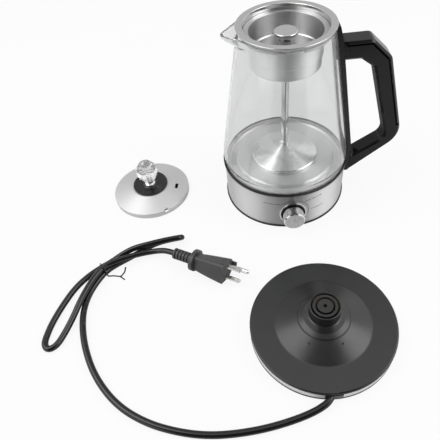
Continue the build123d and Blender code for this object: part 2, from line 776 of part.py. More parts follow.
def lip_solid(body_inset, tip_inset, tip_round):
    """The pouring lip as a solid, drawn inwards by the given insets."""
    levels = []
    for depth, reach in LIP_LEVELS:
        body_r = glass_radius(GLASS_TOP - depth)
        root_r = body_r - body_inset - 0.02 * depth
        levels.append(lip_section(GLASS_TOP - depth, root_r, body_r + reach - tip_inset, tip_round))
    loft(levels)


with BuildPart() as glass_hollow:
    turn(glass_inner + [(0, GLASS_TOP + 5), (0, gasket_top - 1)], radius=[0, 0.6, 4, 6, 0, 0, 0])
    lip_solid(GLASS_WALL, LIP_WALL, LIP_ROUND - GLASS_WALL)

with BuildPart() as jug_glass:
    turn(glass_outer + [(0, GLASS_TOP), (0, gasket_top)], radius=[0, 0.6, 6, 8, 0, 0, 0])
    lip_solid(0.0, 0.0, LIP_ROUND)
    add(glass_hollow.part, mode=Mode.SUBTRACT)
    # the lip's edge falls towards the tip
    lip_end = GLASS_MOUTH_R + LIP_LEVELS[-1][1]
    with BuildSketch(Plane.XZ) as lip_top:
        with BuildLine():
            Polyline(
                (-GLASS_MOUTH_R, GLASS_TOP),
                (-lip_end, GLASS_TOP - LIP_DROP * 1.2),
                (-lip_end, GLASS_TOP + 3),
                (-GLASS_MOUTH_R, GLASS_TOP + 3),
                close=True,
            )
        make_face()
    extrude(lip_top.sketch, amount=60, both=True, mode=Mode.SUBTRACT)
finish(jug_glass, "jug_glass")

# ================================================================ jug: handle
strap_inner_low = BAND_R + SEAT
glass_gap_outline = [
    (0, 0),
    (strap_inner_low, 0),
    (strap_inner_low, BAND_TOP - SLIP),
    (RING_R + SEAT, BAND_TOP - SLIP),
    (RING_R + SEAT, GLASS_BULGE_Z + 2),
    (glass_radius(GLASS_BULGE_Z + 12) + SEAT, GLASS_BULGE_Z + 12),
    (glass_radius(GLASS_TOP + 20) + SEAT, GLASS_TOP + 20),
    (0, GLASS_TOP + 20),
]


def strap_x(height):
    """Outer face of the strap in the handle's middle plane."""
    return glass_radius(height) + SEAT + STRAP_THICK


strap_low_x = BAND_R + SEAT + STRAP_THICK + 0.8
pin_x = strap_x(PIN_Z) + PIN_DEPTH
strap_outline = [
    (50, HANDLE_FOOT_Z),
    (strap_low_x, HANDLE_FOOT_Z),
    (strap_low_x, GLASS_BULGE_Z),
    (strap_x(HANDLE_TOP), HANDLE_TOP),
    (strap_x(STRAP_TOP) - 1.8, STRAP_TOP),
    (30, STRAP_TOP),
    (30, HANDLE_TOP),
]

with BuildPart() as handle_strap:
    with BuildSketch(Plane.XZ) as strap_side:
        with BuildLine():
            Polyline(*strap_outline, close=True)
        make_face()
    extrude(strap_side.sketch, amount=HANDLE_WIDTH / 2 - 0.5, both=True)
    turn(glass_gap_outline, mode=Mode.SUBTRACT)
    drill((BAND_R - 2, 0, SCREW_Z), (1, 0, 0), 2.2, STRAP_THICK + 9.8, Mode.SUBTRACT)
finish(handle_strap, "handle_strap")

cover_end = (along(HANDLE_SHOULDER, HANDLE_ELBOW, HANDLE_ELBOW[1] + 16.0), HANDLE_ELBOW[1] + 16.0)
cover_start = (strap_x(HANDLE_TOP) + 3.0, HANDLE_TOP)
cover_outer = [cover_start, HANDLE_KNEE, HANDLE_SHOULDER, cover_end]
cover_inner = parallel_path(cover_outer, COVER_THICK)
cover_outer_rounds = [7, 9]
cover_inner_rounds = [cover_outer_rounds[0] - COVER_THICK, cover_outer_rounds[1] - COVER_THICK]


def prism(points, width, rounds):
    """A closed outline in the XZ plane, with rounded corners, extruded to both sides."""
    with BuildSketch(Plane.XZ) as outline:
        with BuildLine():
            FilletPolyline(*points, radius=rounds, close=True)
        make_face()
    extrude(outline.sketch, amount=width / 2, both=True)


handle_root_x = BAND_R - 30.5         # the body is drawn to here and then cut back to the strap

with BuildPart() as handle_body:
    prism(
        [
            (handle_root_x, HANDLE_TOP),
            HANDLE_KNEE,
            HANDLE_SHOULDER,
            HANDLE_ELBOW,
            HANDLE_HEEL,
            (handle_root_x, HANDLE_FOOT_Z),
        ],
        HANDLE_WIDTH,
        [0] + cover_outer_rounds + [24, 3.0, 0],
    )
    with BuildSketch(Plane.XZ) as finger_gap:
        with BuildLine():
            FilletPolyline(
                (handle_root_x + 6, FINGER_ROOT_TOP),
                FINGER_KNEE,
                FINGER_SHOULDER,
                FINGER_ELBOW,
                FINGER_HEEL,
                (strap_low_x - 2.0, GLASS_BULGE_Z - 4.0),
                (handle_root_x + 6, GLASS_BULGE_Z),
                radius=[0, 4, 6, 11, 3, 0, 0],
                close=True,
            )
        make_face()
    extrude(finger_gap.sketch, amount=HANDLE_WIDTH, both=True, mode=Mode.SUBTRACT)
    side_faces = handle_body.faces().filter_by(Axis.Y)
    chamfer(ShapeList(edge for face in side_faces for edge in face.edges()), 2.2)
    with BuildSketch(Plane.XZ) as strap_seat:
        with BuildLine():
            Polyline(
                (0, 0),
                (strap_low_x, 0),
                (strap_low_x, GLASS_BULGE_Z),
                (strap_x(HANDLE_TOP), HANDLE_TOP),
                (0, HANDLE_TOP + 10),
                close=True,
            )
        make_face()
    extrude(strap_seat.sketch, amount=HANDLE_WIDTH, both=True, mode=Mode.SUBTRACT)
    with BuildSketch(Plane.XZ) as cover_seat:
        with BuildLine():
            FilletPolyline(
                *cover_inner,
                (cover_end[0] + 12, cover_end[1]),
                (cover_end[0] + 12, HANDLE_TOP + 12),
                (cover_start[0], HANDLE_TOP + 12),
                radius=[0] + cover_inner_rounds + [0, 0, 0, 0],
                close=True,
            )
        make_face()
    extrude(cover_seat.sketch, amount=HANDLE_WIDTH, both=True, mode=Mode.SUBTRACT)
    drill((pin_x, -HANDLE_WIDTH, PIN_Z), (0, 1, 0), PIN_R, 2 * HANDLE_WIDTH, Mode.SUBTRACT)
    drill((BAND_R, 0, SCREW_Z), (1, 0, 0), 1.8, SCREW_LENGTH + 2.0, Mode.SUBTRACT)
finish(handle_body, "handle_body")

with BuildPart() as handle_cover:
    cover_rounds = [0] + cover_outer_rounds + [0, 0] + cover_inner_rounds[::-1] + [0]
    prism(cover_outer + cover_inner[::-1], HANDLE_WIDTH, cover_rounds)
    cover_sides = handle_cover.faces().filter_by(Axis.Y)
    chamfer(ShapeList(edge for face in cover_sides for edge in face.edges()), 1.9)
finish(handle_cover, "handle_cover")

with BuildPart() as handle_screws:
    drill((pin_x, -HANDLE_WIDTH / 2 + 0.6, PIN_Z), (0, 1, 0), PIN_R, HANDLE_WIDTH - 1.2)
    drill((BAND_R - BAND_WALL - 3.4, 0, SCREW_Z), (1, 0, 0), 3.8, 3.0)
    drill((BAND_R - BAND_WALL - 0.5, 0, SCREW_Z), (1, 0, 0), 1.8, SCREW_LENGTH)
finish(handle_screws, "handle_screws")

# ================================================================ jug: switch and bezel
bracket_face = BAND_R - 4.3
bracket_thick = 1.4

with BuildPart() as switch_bracket:
    with BuildSketch(Plane.XZ.offset(bracket_face - bracket_thick)) as upright:
        with Locations((0, (cover_floor + KNOB_Z + 12) / 2)):
            Rectangle(25, KNOB_Z + 12 - cover_floor)
        with Locations((0, KNOB_Z)):
            Circle(SHAFT_R + 0.6, mode=Mode.SUBTRACT)
    extrude(upright.sketch, amount=bracket_thick)
    with BuildSketch(Plane.XY.offset(cover_floor)) as bracket_foot:
        with Locations((0, -bracket_face + bracket_thick + 4.0)):
            Rectangle(25, 8.0)
    extrude(bracket_foot.sketch, amount=bracket_thick)
finish(switch_bracket, "switch_bracket")

with BuildPart() as rotary_switch:
    with BuildSketch(Plane.XZ.offset(bracket_face - bracket_thick - 16.0)) as housing:
        with Locations((0, KNOB_Z)):
            RectangleRounded(22, 21, 2.0)
    extrude(housing.sketch, amount=16.0)
    knob_bar(SHAFT_R + RUNNING, bracket_face - bracket_thick - 7.0, bracket_face, Mode.SUBTRACT)
finish(rotary_switch, "rotary_switch")

with BuildPart() as knob_bezel:
    knob_bar(BEZEL_R, bracket_face, BEZEL_FRONT)
    knob_bar(BEZEL_CUP_R, BEZEL_FLOOR, BEZEL_FRONT + 1, Mode.SUBTRACT)
    knob_bar(SHAFT_R + 0.5, bracket_face - 1, BEZEL_FLOOR + 1, Mode.SUBTRACT)
    chamfer(knob_bezel.edges().group_by(Axis.Y)[0], 0.4)
finish(knob_bezel, "knob_bezel")

with BuildPart() as bezel_trim:
    knob_bar(TRIM_R, BAND_R - 6, BEZEL_FRONT - 0.8)
    knob_bar(BEZEL_R + 0.05, BAND_R - 7, BEZEL_FRONT + 1, Mode.SUBTRACT)
    ring(BAND_R + 0.02, 0, 0, BAND_TOP, mode=Mode.SUBTRACT)
finish(bezel_trim, "bezel_trim")

with BuildPart() as control_knob:
    knob_bar(KNOB_R, KNOB_BACK, KNOB_FACE)
    chamfer(control_knob.edges().group_by(Axis.Y)[0], 1.2)
    # finger flat across the face, with the pointer groove along it
    knob_bar(SHAFT_R, KNOB_BACK - 1, KNOB_BACK + 5, Mode.SUBTRACT)
    with BuildSketch(Plane.XZ.offset(KNOB_FACE - 0.8)) as pointer:
        with Locations((0, KNOB_Z + KNOB_R * 0.55)):
            RectangleRounded(1.4, KNOB_R * 0.8, 0.6)
    extrude(pointer.sketch, amount=2, mode=Mode.SUBTRACT)
finish(control_knob, "control_knob")

with BuildPart() as knob_shaft:
    knob_bar(SHAFT_R, bracket_face - bracket_thick - 6.0, KNOB_BACK + 5)
finish(knob_shaft, "knob_shaft")

# ================================================================ infuser
collar_outer_r = RECESS_R + SHEET
basket_outer_r = BASKET_MOUTH_R + SHEET
ledge_inner_r = basket_outer_r + SEAT

with BuildPart() as infuser_collar:
    turn(
        [
            (FLANGE_R, FLANGE_LOW),
            (FLANGE_R, FLANGE_TOP),
            (RECESS_R, FLANGE_TOP),
            (RECESS_R, LEDGE_Z),
            (ledge_inner_r, LEDGE_Z),
            (ledge_inner_r, LEDGE_Z - SHEET),
            (collar_outer_r, LEDGE_Z - SHEET),
            (collar_outer_r, FLANGE_LOW),
        ],
        radius=[0.35, 0.35, 0.6, 0.3, 0, 0, 0.9, 0],
    )
    # locating lug of the collar
    with BuildSketch(Plane.XY.offset(LEDGE_Z - 0.2)) as lug:
        with Locations(polar(collar_outer_r + 0.4, LUG_ANGLE)):
            with Locations(Rotation(0, 0, LUG_ANGLE + 90)):
                Rectangle(LUG_WIDTH, 2 * SHEET)
    extrude(lug.sketch, amount=SEAL_RIM - 0.6 - (LEDGE_Z - 0.2))
finish(infuser_collar, "infuser_collar")

with BuildPart() as infuser_seal:
    turn(
        [
            (collar_outer_r, SEAL_LOW),
            (SEAL_R - 0.6, SEAL_LOW),
            (SEAL_R, SEAL_LOW + 1.0),
            (SEAL_R, SEAL_RIM),
            (FLANGE_R - 1.2, SEAL_RIM),
            (FLANGE_R - 1.2, FLANGE_LOW),
            (collar_outer_r, FLANGE_LOW),
        ],
    )
    # window under the rim, round the lug
    notch_angles = [SEAL_NOTCH[0] + (SEAL_NOTCH[1] - SEAL_NOTCH[0]) * share / 4 for share in range(5)]
    notch_plan = [polar(collar_outer_r - 3.0, angle)[:2] for angle in notch_angles]
    notch_plan += [polar(SEAL_R + 3.0, angle)[:2] for angle in notch_angles[::-1]]
    with BuildSketch(Plane.XY.offset(SEAL_LOW - 1.0)) as seal_window:
        with BuildLine():
            Polyline(*notch_plan, close=True)
        make_face()
    extrude(seal_window.sketch, amount=SEAL_RIM - 0.4 - (SEAL_LOW - 1.0), mode=Mode.SUBTRACT)
finish(infuser_seal, "infuser_seal")

sleeve_bore_r = TUBE_R + 0.35
sleeve_r = sleeve_bore_r + 0.9

with BuildPart() as tea_basket:
    turn(
        [
            (RECESS_R - SEAT, LEDGE_Z),
            (RECESS_R - SEAT, LEDGE_Z + SHEET),
            (BASKET_MOUTH_R, LEDGE_Z + SHEET),
            (BASKET_MOUTH_R, BASKET_STEP_Z + 0.6),
            (BASKET_MOUTH_R - BASKET_STEP, BASKET_STEP_Z - 0.6),
            (BASKET_MOUTH_R - BASKET_STEP, BASKET_FLOOR + SHEET),
            (sleeve_r, BASKET_FLOOR + SHEET),
            (sleeve_r, BASKET_FLOOR),
            (basket_outer_r - BASKET_STEP, BASKET_FLOOR),
            (basket_outer_r - BASKET_STEP, BASKET_STEP_Z - 0.6),
            (basket_outer_r, BASKET_STEP_Z + 0.6),
            (basket_outer_r, LEDGE_Z),
        ],
        radius=[0, 0, 0.7, 0, 0, 1.2, 0, 0, 2.0, 0, 0, 0],
    )
    # steam slots in the floor
    for slot_ring_r, slot_count in ((11.0, 12), (19.0, 20), (27.0, 28)):
        with BuildSketch(Plane.XY.offset(BASKET_FLOOR - 0.5)) as slots:
            with PolarLocations(slot_ring_r, slot_count):
                Rectangle(5.0, 1.2)
        extrude(slots.sketch, amount=SHEET + 1.0, mode=Mode.SUBTRACT)
finish(tea_basket, "tea_basket")

with BuildPart() as basket_sleeve:
    ring(sleeve_r, sleeve_bore_r, BASKET_FLOOR, SLEEVE_TOP)
finish(basket_sleeve, "basket_sleeve")

cap_neck_r = sleeve_r + 1.2
with BuildPart() as spray_cap:
    turn(
        [
            (0, CAP_ROOF),
            (sleeve_r, CAP_ROOF),
            (sleeve_r, SLEEVE_TOP - 3.4),
            (cap_neck_r, SLEEVE_TOP - 3.4),
            (cap_neck_r, CAP_TOP - CAP_DISC_THICK),
            (CAP_R, CAP_TOP - CAP_DISC_THICK),
            (CAP_R, CAP_TOP),
            (0, CAP_TOP),
        ],
        radius=[0, 0, 0, 0, 0.6, 0.5, 1.1, 0],
    )
    # spray windows above the end of the sleeve
    for window_angle in (0, 90, 180, 270):
        with BuildSketch(Plane.XY.offset(SLEEVE_TOP + 0.2)) as window:
            with Locations(polar(sleeve_r + 0.4, window_angle)):
                with Locations(Rotation(0, 0, window_angle)):
                    Rectangle(5 * SHEET, SPRAY_WINDOW)
        extrude(window.sketch, amount=2.4, mode=Mode.SUBTRACT)
finish(spray_cap, "spray_cap")

# ================================================================ percolator stem
bell_foot = PLATE_TOP + SEAT
bell_shoulder = bell_foot + BELL_RIM
bell_outer = [
    (BELL_R, bell_foot),
    (BELL_R, bell_shoulder),
    (BELL_R - 1.1, bell_shoulder + 1.0),
    (TUBE_R, BELL_APEX_Z),
]
bell_inner = parallel_path(bell_outer, -SHEET)

with BuildPart() as bell_cone:
    turn(bell_outer + [(TUBE_R, bell_inner[3][1])] + bell_inner[2::-1], radius=[0, 0.8, 0.8, 0, 0, 0, 0, 0])
    # water inlets in the rim
    for inlet_angle in (-102, -12, 78, 168):
        with BuildSketch(Plane.XY.offset(bell_foot - 0.5)) as inlet:
            with Locations(polar(BELL_R - 0.4, inlet_angle)):
                with Locations(Rotation(0, 0, inlet_angle)):
                    Rectangle(4.0, 5.0)
        extrude(inlet.sketch, amount=1.9, mode=Mode.SUBTRACT)
finish(bell_cone, "bell_cone")

with BuildPart() as riser_tube:
    ring(TUBE_R, TUBE_BORE_R, TUBE_FOOT, TUBE_TOP)
finish(riser_tube, "riser_tube")

with BuildPart() as bell_collar:
    turn(
        [
            (TUBE_R, BELL_APEX_Z),
            (TUBE_R + 1.8, BELL_APEX_Z - 0.1),
            (TUBE_R + 1.6, BELL_APEX_Z + 2.6),
            (TUBE_R, BELL_APEX_Z + 3.4),
        ],
    )
finish(bell_collar, "bell_collar")

# ================================================================ lid
LID = (LID_X, LID_Y)
lid_crest_low = LID_CREST_Z - SHEET
lid_edge = (LID_R - 0.5, LID_RIM + 0.5)
lid_crest = (LID_CREST_R, LID_CREST_Z)

with BuildPart() as lid_shell:
    turn(
        [
            (LID_R, 0),
            (LID_R, LID_RIM),
            lid_edge,
            lid_crest,
            (LID_SCREW_R + SLIP, LID_CREST_Z),
            (LID_SCREW_R + SLIP, lid_crest_low),
            (LID_CREST_R - 0.2, lid_crest_low),
            (LID_R - SHEET - 0.2, LID_RIM - 0.3),
            (LID_R - SHEET, 0),
        ],
        LID,
        radius=[0, 0.4, 0.4, 3.0, 0, 0, 3.0, 0.3, 0],
    )
    # steam slot, and the notch of the rim
    with BuildSketch(Plane.XY.offset(LID_RIM)) as steam_slot:
        with Locations(polar(32.7, -9, LID)):
            with Locations(Rotation(0, 0, -9)):
                Rectangle(3.4, 8.4)
    extrude(steam_slot.sketch, amount=8, mode=Mode.SUBTRACT)
    with BuildSketch(Plane.XY.offset(LID_RIM - 2.6)) as rim_notch:
        with Locations(polar(LID_R - 0.6, -64.5, LID)):
            with Locations(Rotation(0, 0, -64.5)):
                Rectangle(4.0, 4.6)
    extrude(rim_notch.sketch, amount=4.4, mode=Mode.SUBTRACT)
finish(lid_shell, "lid_shell")

lid_slope_start = (LID_R - SHEET - 0.2, LID_RIM - 0.3)
lid_slope_end = (LID_CREST_R - 0.2, lid_crest_low)


def lid_under(radius):
    """Height of the underside of the lid's cone at a radius."""
    share = (radius - lid_slope_start[0]) / (lid_slope_end[0] - lid_slope_start[0])
    return lid_slope_start[1] + share * (lid_slope_end[1] - lid_slope_start[1])


with BuildPart() as lid_skirt:
    turn(
        [
            (LID_SKIRT_R, 0.2),
            (LID_SKIRT_R, lid_under(LID_SKIRT_R)),
            (LID_SKIRT_R - SHEET, lid_under(LID_SKIRT_R - SHEET)),
            (LID_SKIRT_R - SHEET, 0.2),
        ],
        LID,
    )
finish(lid_skirt, "lid_skirt")

disc_top = LID_CREST_Z + LID_DISC_THICK
with BuildPart() as lid_disc:
    turn(
        [
            (LID_SCREW_R + SLIP, LID_CREST_Z),
            (LID_DISC_R - 1.0, LID_CREST_Z),
            (LID_DISC_R, LID_CREST_Z + 0.9),
            (LID_DISC_R - 0.3, disc_top),
            (LID_DISC_R - 1.6, disc_top),
            (LID_DISC_R - 2.2, disc_top - 0.7),
            (9.0, disc_top - 0.9),
            (7.6, disc_top - 0.1),
            (LID_SCREW_R + SLIP, disc_top - 0.1),
        ],
        LID,
    )
finish(lid_disc, "lid_disc")

with BuildPart() as lid_stem:
    turn(
        [
            (LID_SCREW_R, disc_top - 0.1),
            (6.4, disc_top - 0.1),
            (6.4, disc_top + 0.8),
            (4.2, disc_top + 2.2),
            (4.2, LID_KNOB_FOOT - 1.6),
            (5.6, LID_KNOB_FOOT),
            (LID_SCREW_R, LID_KNOB_FOOT),
        ],
        LID,
    )
finish(lid_stem, "lid_stem")

facets = 10
facet_levels = [
    (0.00, 0.46),
    (0.22, 0.80),
    (0.50, 1.00),
    (0.74, 0.94),
    (1.00, 0.56),
]


def facet_polygon(share, width):
    """One level of the cut knob, at a share of its height and of its full radius."""
    height = LID_KNOB_FOOT + share * (LID_KNOB_TOP - LID_KNOB_FOOT)
    with BuildSketch(Plane((LID_X, LID_Y, height))) as level:
        RegularPolygon(LID_KNOB_R * width, facets)
    return level.sketch


with BuildPart() as lid_knob:
    for lower, upper in zip(facet_levels, facet_levels[1:]):
        loft([facet_polygon(*lower), facet_polygon(*upper)], ruled=True)
    drill((LID_X, LID_Y, LID_KNOB_FOOT), (0, 0, 1), LID_SCREW_R, 9.0, Mode.SUBTRACT)
finish(lid_knob, "lid_knob")

with BuildPart() as lid_screw:
    drill((LID_X, LID_Y, lid_crest_low - 2.0), (0, 0, 1), 3.6, 2.0)
    drill((LID_X, LID_Y, lid_crest_low), (0, 0, 1), LID_SCREW_R, LID_KNOB_FOOT + 8.0 - lid_crest_low)
finish(lid_screw, "lid_screw")
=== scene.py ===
"""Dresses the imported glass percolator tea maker: camera, mains cord, materials, marks and studio."""
import math

import bpy
from mathutils import Matrix, Vector


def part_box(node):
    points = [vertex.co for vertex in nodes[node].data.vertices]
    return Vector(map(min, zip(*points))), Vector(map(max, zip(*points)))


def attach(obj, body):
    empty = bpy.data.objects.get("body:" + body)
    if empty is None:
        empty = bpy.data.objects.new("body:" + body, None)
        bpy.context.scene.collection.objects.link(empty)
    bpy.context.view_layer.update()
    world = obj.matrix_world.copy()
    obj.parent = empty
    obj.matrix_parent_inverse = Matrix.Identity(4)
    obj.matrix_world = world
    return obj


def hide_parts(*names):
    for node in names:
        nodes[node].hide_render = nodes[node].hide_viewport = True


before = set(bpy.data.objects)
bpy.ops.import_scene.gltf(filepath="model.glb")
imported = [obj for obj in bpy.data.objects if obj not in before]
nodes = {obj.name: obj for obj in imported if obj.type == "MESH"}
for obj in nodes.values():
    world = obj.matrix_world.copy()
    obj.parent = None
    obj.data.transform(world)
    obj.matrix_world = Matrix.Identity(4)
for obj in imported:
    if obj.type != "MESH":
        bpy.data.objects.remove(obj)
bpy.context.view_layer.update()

MM = 0.001
WHITE = (1, 1, 1, 1)


def middle(node):
    """The middle of a CAD node's box, in mm."""
    low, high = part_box(node)
    return (low + high) / 2 / MM


LID_CENTRE = middle("lid_shell")
KNOB_CENTRE = middle("knob_bezel")

# ---------------------------------------------------------------- camera
PHOTO_PIXELS = 440.0  # the photograph's width and height
FOCAL_PIXELS = 455.09  # the lens, as the photograph's pixels measure it
AXIS_PIXELS = 20.0  # the optical axis meets the picture this far right of and below its centre
SENSOR_WIDTH = 36.0  # mm
CAMERA_PITCH = 50.461  # degrees below level
CAMERA_ROLL = -5.854  # degrees
CAMERA_PLACE = (-62.54, -416.44, 402.09)  # mm


def place_camera():
    """The photograph's view: looking down at 50 degrees, a little rolled."""
    pitch = math.radians(CAMERA_PITCH)
    roll = math.radians(CAMERA_ROLL)
    ahead = Vector((0, math.cos(pitch), -math.sin(pitch)))
    level_up = Vector((0, math.sin(pitch), math.cos(pitch)))
    level_right = Vector((1, 0, 0))
    right = level_right * math.cos(roll) + level_up * math.sin(roll)
    up = level_up * math.cos(roll) - level_right * math.sin(roll)
    data = bpy.data.cameras.new("camera")
    data.sensor_fit = "HORIZONTAL"
    data.sensor_width = SENSOR_WIDTH
    data.lens = FOCAL_PIXELS * SENSOR_WIDTH / PHOTO_PIXELS
    data.shift_x = -AXIS_PIXELS / PHOTO_PIXELS
    data.shift_y = AXIS_PIXELS / PHOTO_PIXELS
    data.clip_start = 0.01
    camera = bpy.data.objects.new("camera", data)
    turn = Matrix((right, up, -ahead)).transposed().to_4x4()
    camera.matrix_world = Matrix.Translation(Vector(CAMERA_PLACE) * MM) @ turn
    bpy.context.scene.collection.objects.link(camera)
    bpy.context.scene.camera = camera


place_camera()

# ---------------------------------------------------------------- mains cord
CORD_RADIUS = 3.2  # mm

# From the gland on the power base to the plug's strain relief, in mm.
CORD_ROUTE = [
    (7.2, -269.0, 6.8),
    (1.4, -278.6, 6.2),
    (-8.8, -284.4, 4.8),
    (-25.0, -289.6, 3.6),
    (-50.0, -294.8, 3.3),
    (-76.0, -297.4, 3.3),
    (-104.0, -297.0, 3.3),
    (-131.0, -291.6, 3.3),
    (-160.0, -280.8, 3.3),
    (-187.4, -262.4, 3.3),
    (-210.0, -234.0, 3.3),
    (-223.8, -203.0, 3.3),
    (-230.4, -174.6, 3.3),
    (-230.6, -152.5, 3.3),
    (-225.2, -133.0, 3.3),
    (-213.4, -112.4, 3.3),
    (-200.2, -103.4, 3.3),
    (-188.0, -96.8, 3.3),
    (-177.0, -90.0, 3.3),
    (-166.0, -83.0, 3.3),
    (-154.5, -78.4, 3.3),
    (-142.4, -76.0, 3.3),
    (-131.8, -74.9, 3.3),
    (-127.5, -77.9, 7.6),
    (-129.6, -81.6, 11.9),
    (-140.4, -82.8, 12.1),
    (-152.6, -84.4, 11.9),
    (-166.4, -86.6, 11.4),
    (-178.2, -88.4, 10.7),
    (-188.0, -90.4, 8.6),
    (-197.6, -93.2, 5.2),
    (-207.4, -99.5, 3.4),
    (-218.0, -105.8, 3.3),
    (-232.0, -116.6, 3.3),
    (-244.4, -131.0, 3.3),
    (-254.4, -152.0, 3.3),
    (-261.0, -170.0, 3.3),
    (-263.8, -182.0, 3.3),
    (-265.4, -193.8, 3.3),
    (-260.6, -201.2, 3.3),
    (-252.4, -197.8, 3.3),
    (-246.6, -185.8, 3.6),
    (-239.4, -169.0, 6.2),
    (-233.8, -153.5, 9.6),
    (-228.0, -137.0, 10.2),
    (-221.0, -121.4, 10.2),
    (-213.4, -111.0, 10.0),
    (-202.0, -104.9, 10.2),
    (-188.4, -100.9, 10.0),
    (-176.4, -96.6, 8.2),
    (-165.0, -94.6, 7.4),
    (-154.8, -94.8, 8.4),
    (-144.32, -98.16, 11.2),
    (-135.65, -103.15, 11.46),
]


def make_cord():
    """The cord as one smooth spline."""
    curve = bpy.data.curves.new("cord", "CURVE")
    curve.dimensions = "3D"
    curve.bevel_depth = 1.0
    curve.bevel_resolution = 8
    curve.resolution_u = 8
    curve.use_fill_caps = True
    spline = curve.splines.new("NURBS")
    spline.points.add(len(CORD_ROUTE) - 1)
    for point, place in zip(spline.points, CORD_ROUTE):
        point.co = (place[0] * MM, place[1] * MM, place[2] * MM, 1)
        point.radius = CORD_RADIUS * MM
    spline.order_u = 3
    spline.use_endpoint_u = True
    cord = bpy.data.objects.new("cord", curve)
    bpy.context.scene.collection.objects.link(cord)
    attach(cord, "base")
    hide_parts("mains_cord")
    return cord


cord = make_cord()


# ---------------------------------------------------------------- node building blocks
class Graph:
    """Short ways to add nodes to the node tree of a material or of the world."""

    def __init__(self, tree):
        self.tree = tree

    def add(self, kind, **settings):
        """A new shader node, with its properties."""
        node = self.tree.nodes.new("ShaderNode" + kind)
        for key, value in settings.items():
            setattr(node, key, value)
        return node

    def link(self, source, target):
        """Joins an output to an input."""
        self.tree.links.new(source, target)

    def split(self, vector):
        """The X, Y and Z outputs of a vector."""
        node = self.add("SeparateXYZ")
        self.link(vector, node.inputs["Vector"])
        return node.outputs

    def calc(self, operation, first, second=None):
        """Arithmetic on one or two values, of which the second may be a plain number."""
        node = self.add("Math", operation=operation)
        self.link(first, node.inputs[0])
        if isinstance(second, float):
            node.inputs[1].default_value = second
        elif second is not None:
            self.link(second, node.inputs[1])
        return node.outputs["Value"]

    def fit(self, value, old, new):
        """Maps the range old to the range new, and holds its ends."""
        node = self.add("MapRange")
        node.inputs["From Min"].default_value, node.inputs["From Max"].default_value = old
        node.inputs["To Min"].default_value, node.inputs["To Max"].default_value = new
        self.link(value, node.inputs["Value"])
        return node.outputs["Result"]

    def ramp(self, value, stops):
        """A colour ramp from (position, level) stops, where a level is a grey or a colour."""
        stops = list(stops)
        ramp = self.add("ValToRGB")
        elements = ramp.color_ramp.elements
        while len(elements) < len(stops):
            elements.new(0.5)
        for element, (position, level) in zip(elements, stops):
            element.position = position
            element.color = (level, level, level, 1) if isinstance(level, float) else (*level, 1)
        self.link(value, ramp.inputs["Fac"])
        return ramp.outputs["Color"]

    def mix(self, share, first, second):
        """The first shader where share is 0, the second where it is 1."""
        node = self.add("MixShader")
        self.link(share, node.inputs["Fac"])
        self.link(first, node.inputs[1])
        self.link(second, node.inputs[2])
        return node.outputs["Shader"]


class Paint(Graph):
    """A material with one Principled shader, whose values are given by the names of its sockets.

    Where a socket is then fed by nodes, its value is their middle, for viewers that read no nodes.
    """

    def __init__(self, name, **values):
        self.material = bpy.data.materials.new(name)
        self.material.use_nodes = True
        super().__init__(self.material.node_tree)
        self.shader = self.tree.nodes["Principled BSDF"]
        self.surface = self.tree.nodes["Material Output"].inputs["Surface"]
        for socket, value in values.items():
            self.shader.inputs[socket.replace("_", " ")].default_value = value

    def feed(self, socket, source):
        """Joins an output to one of the shader's sockets."""
        self.link(source, self.shader.inputs[socket])

    def noise_at(self, vector, detail=3.0, roughness=0.5):
        """Noise at the places that vector gives; detail is its number of octaves."""
        texture = self.add("TexNoise")
        texture.inputs["Scale"].default_value = 1.0
        texture.inputs["Detail"].default_value = detail
        texture.inputs["Roughness"].default_value = roughness
        self.link(vector, texture.inputs["Vector"])
        return texture.outputs["Fac"]

    def noise(self, scale, detail=3.0, roughness=0.5):
        """Noise that is fixed to the object."""
        mapping = self.add("Mapping")
        mapping.inputs["Scale"].default_value = scale
        self.link(self.add("TexCoord").outputs["Object"], mapping.inputs["Vector"])
        return self.noise_at(mapping.outputs["Vector"], detail, roughness)

    def facing(self, axis, faces, level=1.0):
        """Rises from 0 to level as the surface's normal along axis goes through the range faces."""
        normal = self.split(self.add("TexCoord").outputs["Normal"])
        return self.fit(normal[axis], faces, (0.0, level))

    def inward(self):
        """1 where the surface looks towards the upright axis through the origin, 0 elsewhere."""
        coords = self.add("TexCoord")
        reach = self.add("VectorMath", operation="MULTIPLY")
        reach.inputs[1].default_value = (1, 1, 0)
        self.link(coords.outputs["Object"], reach.inputs[0])
        along = self.add("VectorMath", operation="DOT_PRODUCT")
        self.link(reach.outputs["Vector"], along.inputs[0])
        self.link(coords.outputs["Normal"], along.inputs[1])
        return self.fit(along.outputs["Value"], INNER_FACES, (0.0, 1.0))

    def bump(self, height, strength, depth):
        """Relief on the surface."""
        node = self.add("Bump")
        node.inputs["Strength"].default_value = strength
        node.inputs["Distance"].default_value = depth
        self.link(height, node.inputs["Height"])
        self.feed("Normal", node.outputs["Normal"])


def dress(material, *names):
    """Gives CAD nodes a material."""
    for name in names:
        mesh_slots = nodes[name].material_slots
        if not mesh_slots:
            nodes[name].data.materials.append(material)
        for mesh_slot in mesh_slots:
            mesh_slot.material = material


# ---------------------------------------------------------------- kinds of material
# gloss is the shader's roughness; grain, lines, scratch and ripple are the strengths of the relief.
# Each noise has so many features to the metre along X, Y and Z.
TINTS = (45, 45, 45)
WEAR = (160, 160, 160)
LEVEL_LINES = (60, 60, 9000)
RINGS_PER_METRE = 5200.0
POLISH = (220, 220, 220)
SCRATCHES = (2400, 2400, 500)
SPECKLES = (900, 900, 900)
RIPPLES = (28, 28, 14)
# Each relief is this deep at full strength, in metres.
GRAIN_DEPTH = 0.0002
LINE_DEPTH = 0.00005
SCRATCH_DEPTH = 0.00004
RIPPLE_DEPTH = 0.0004
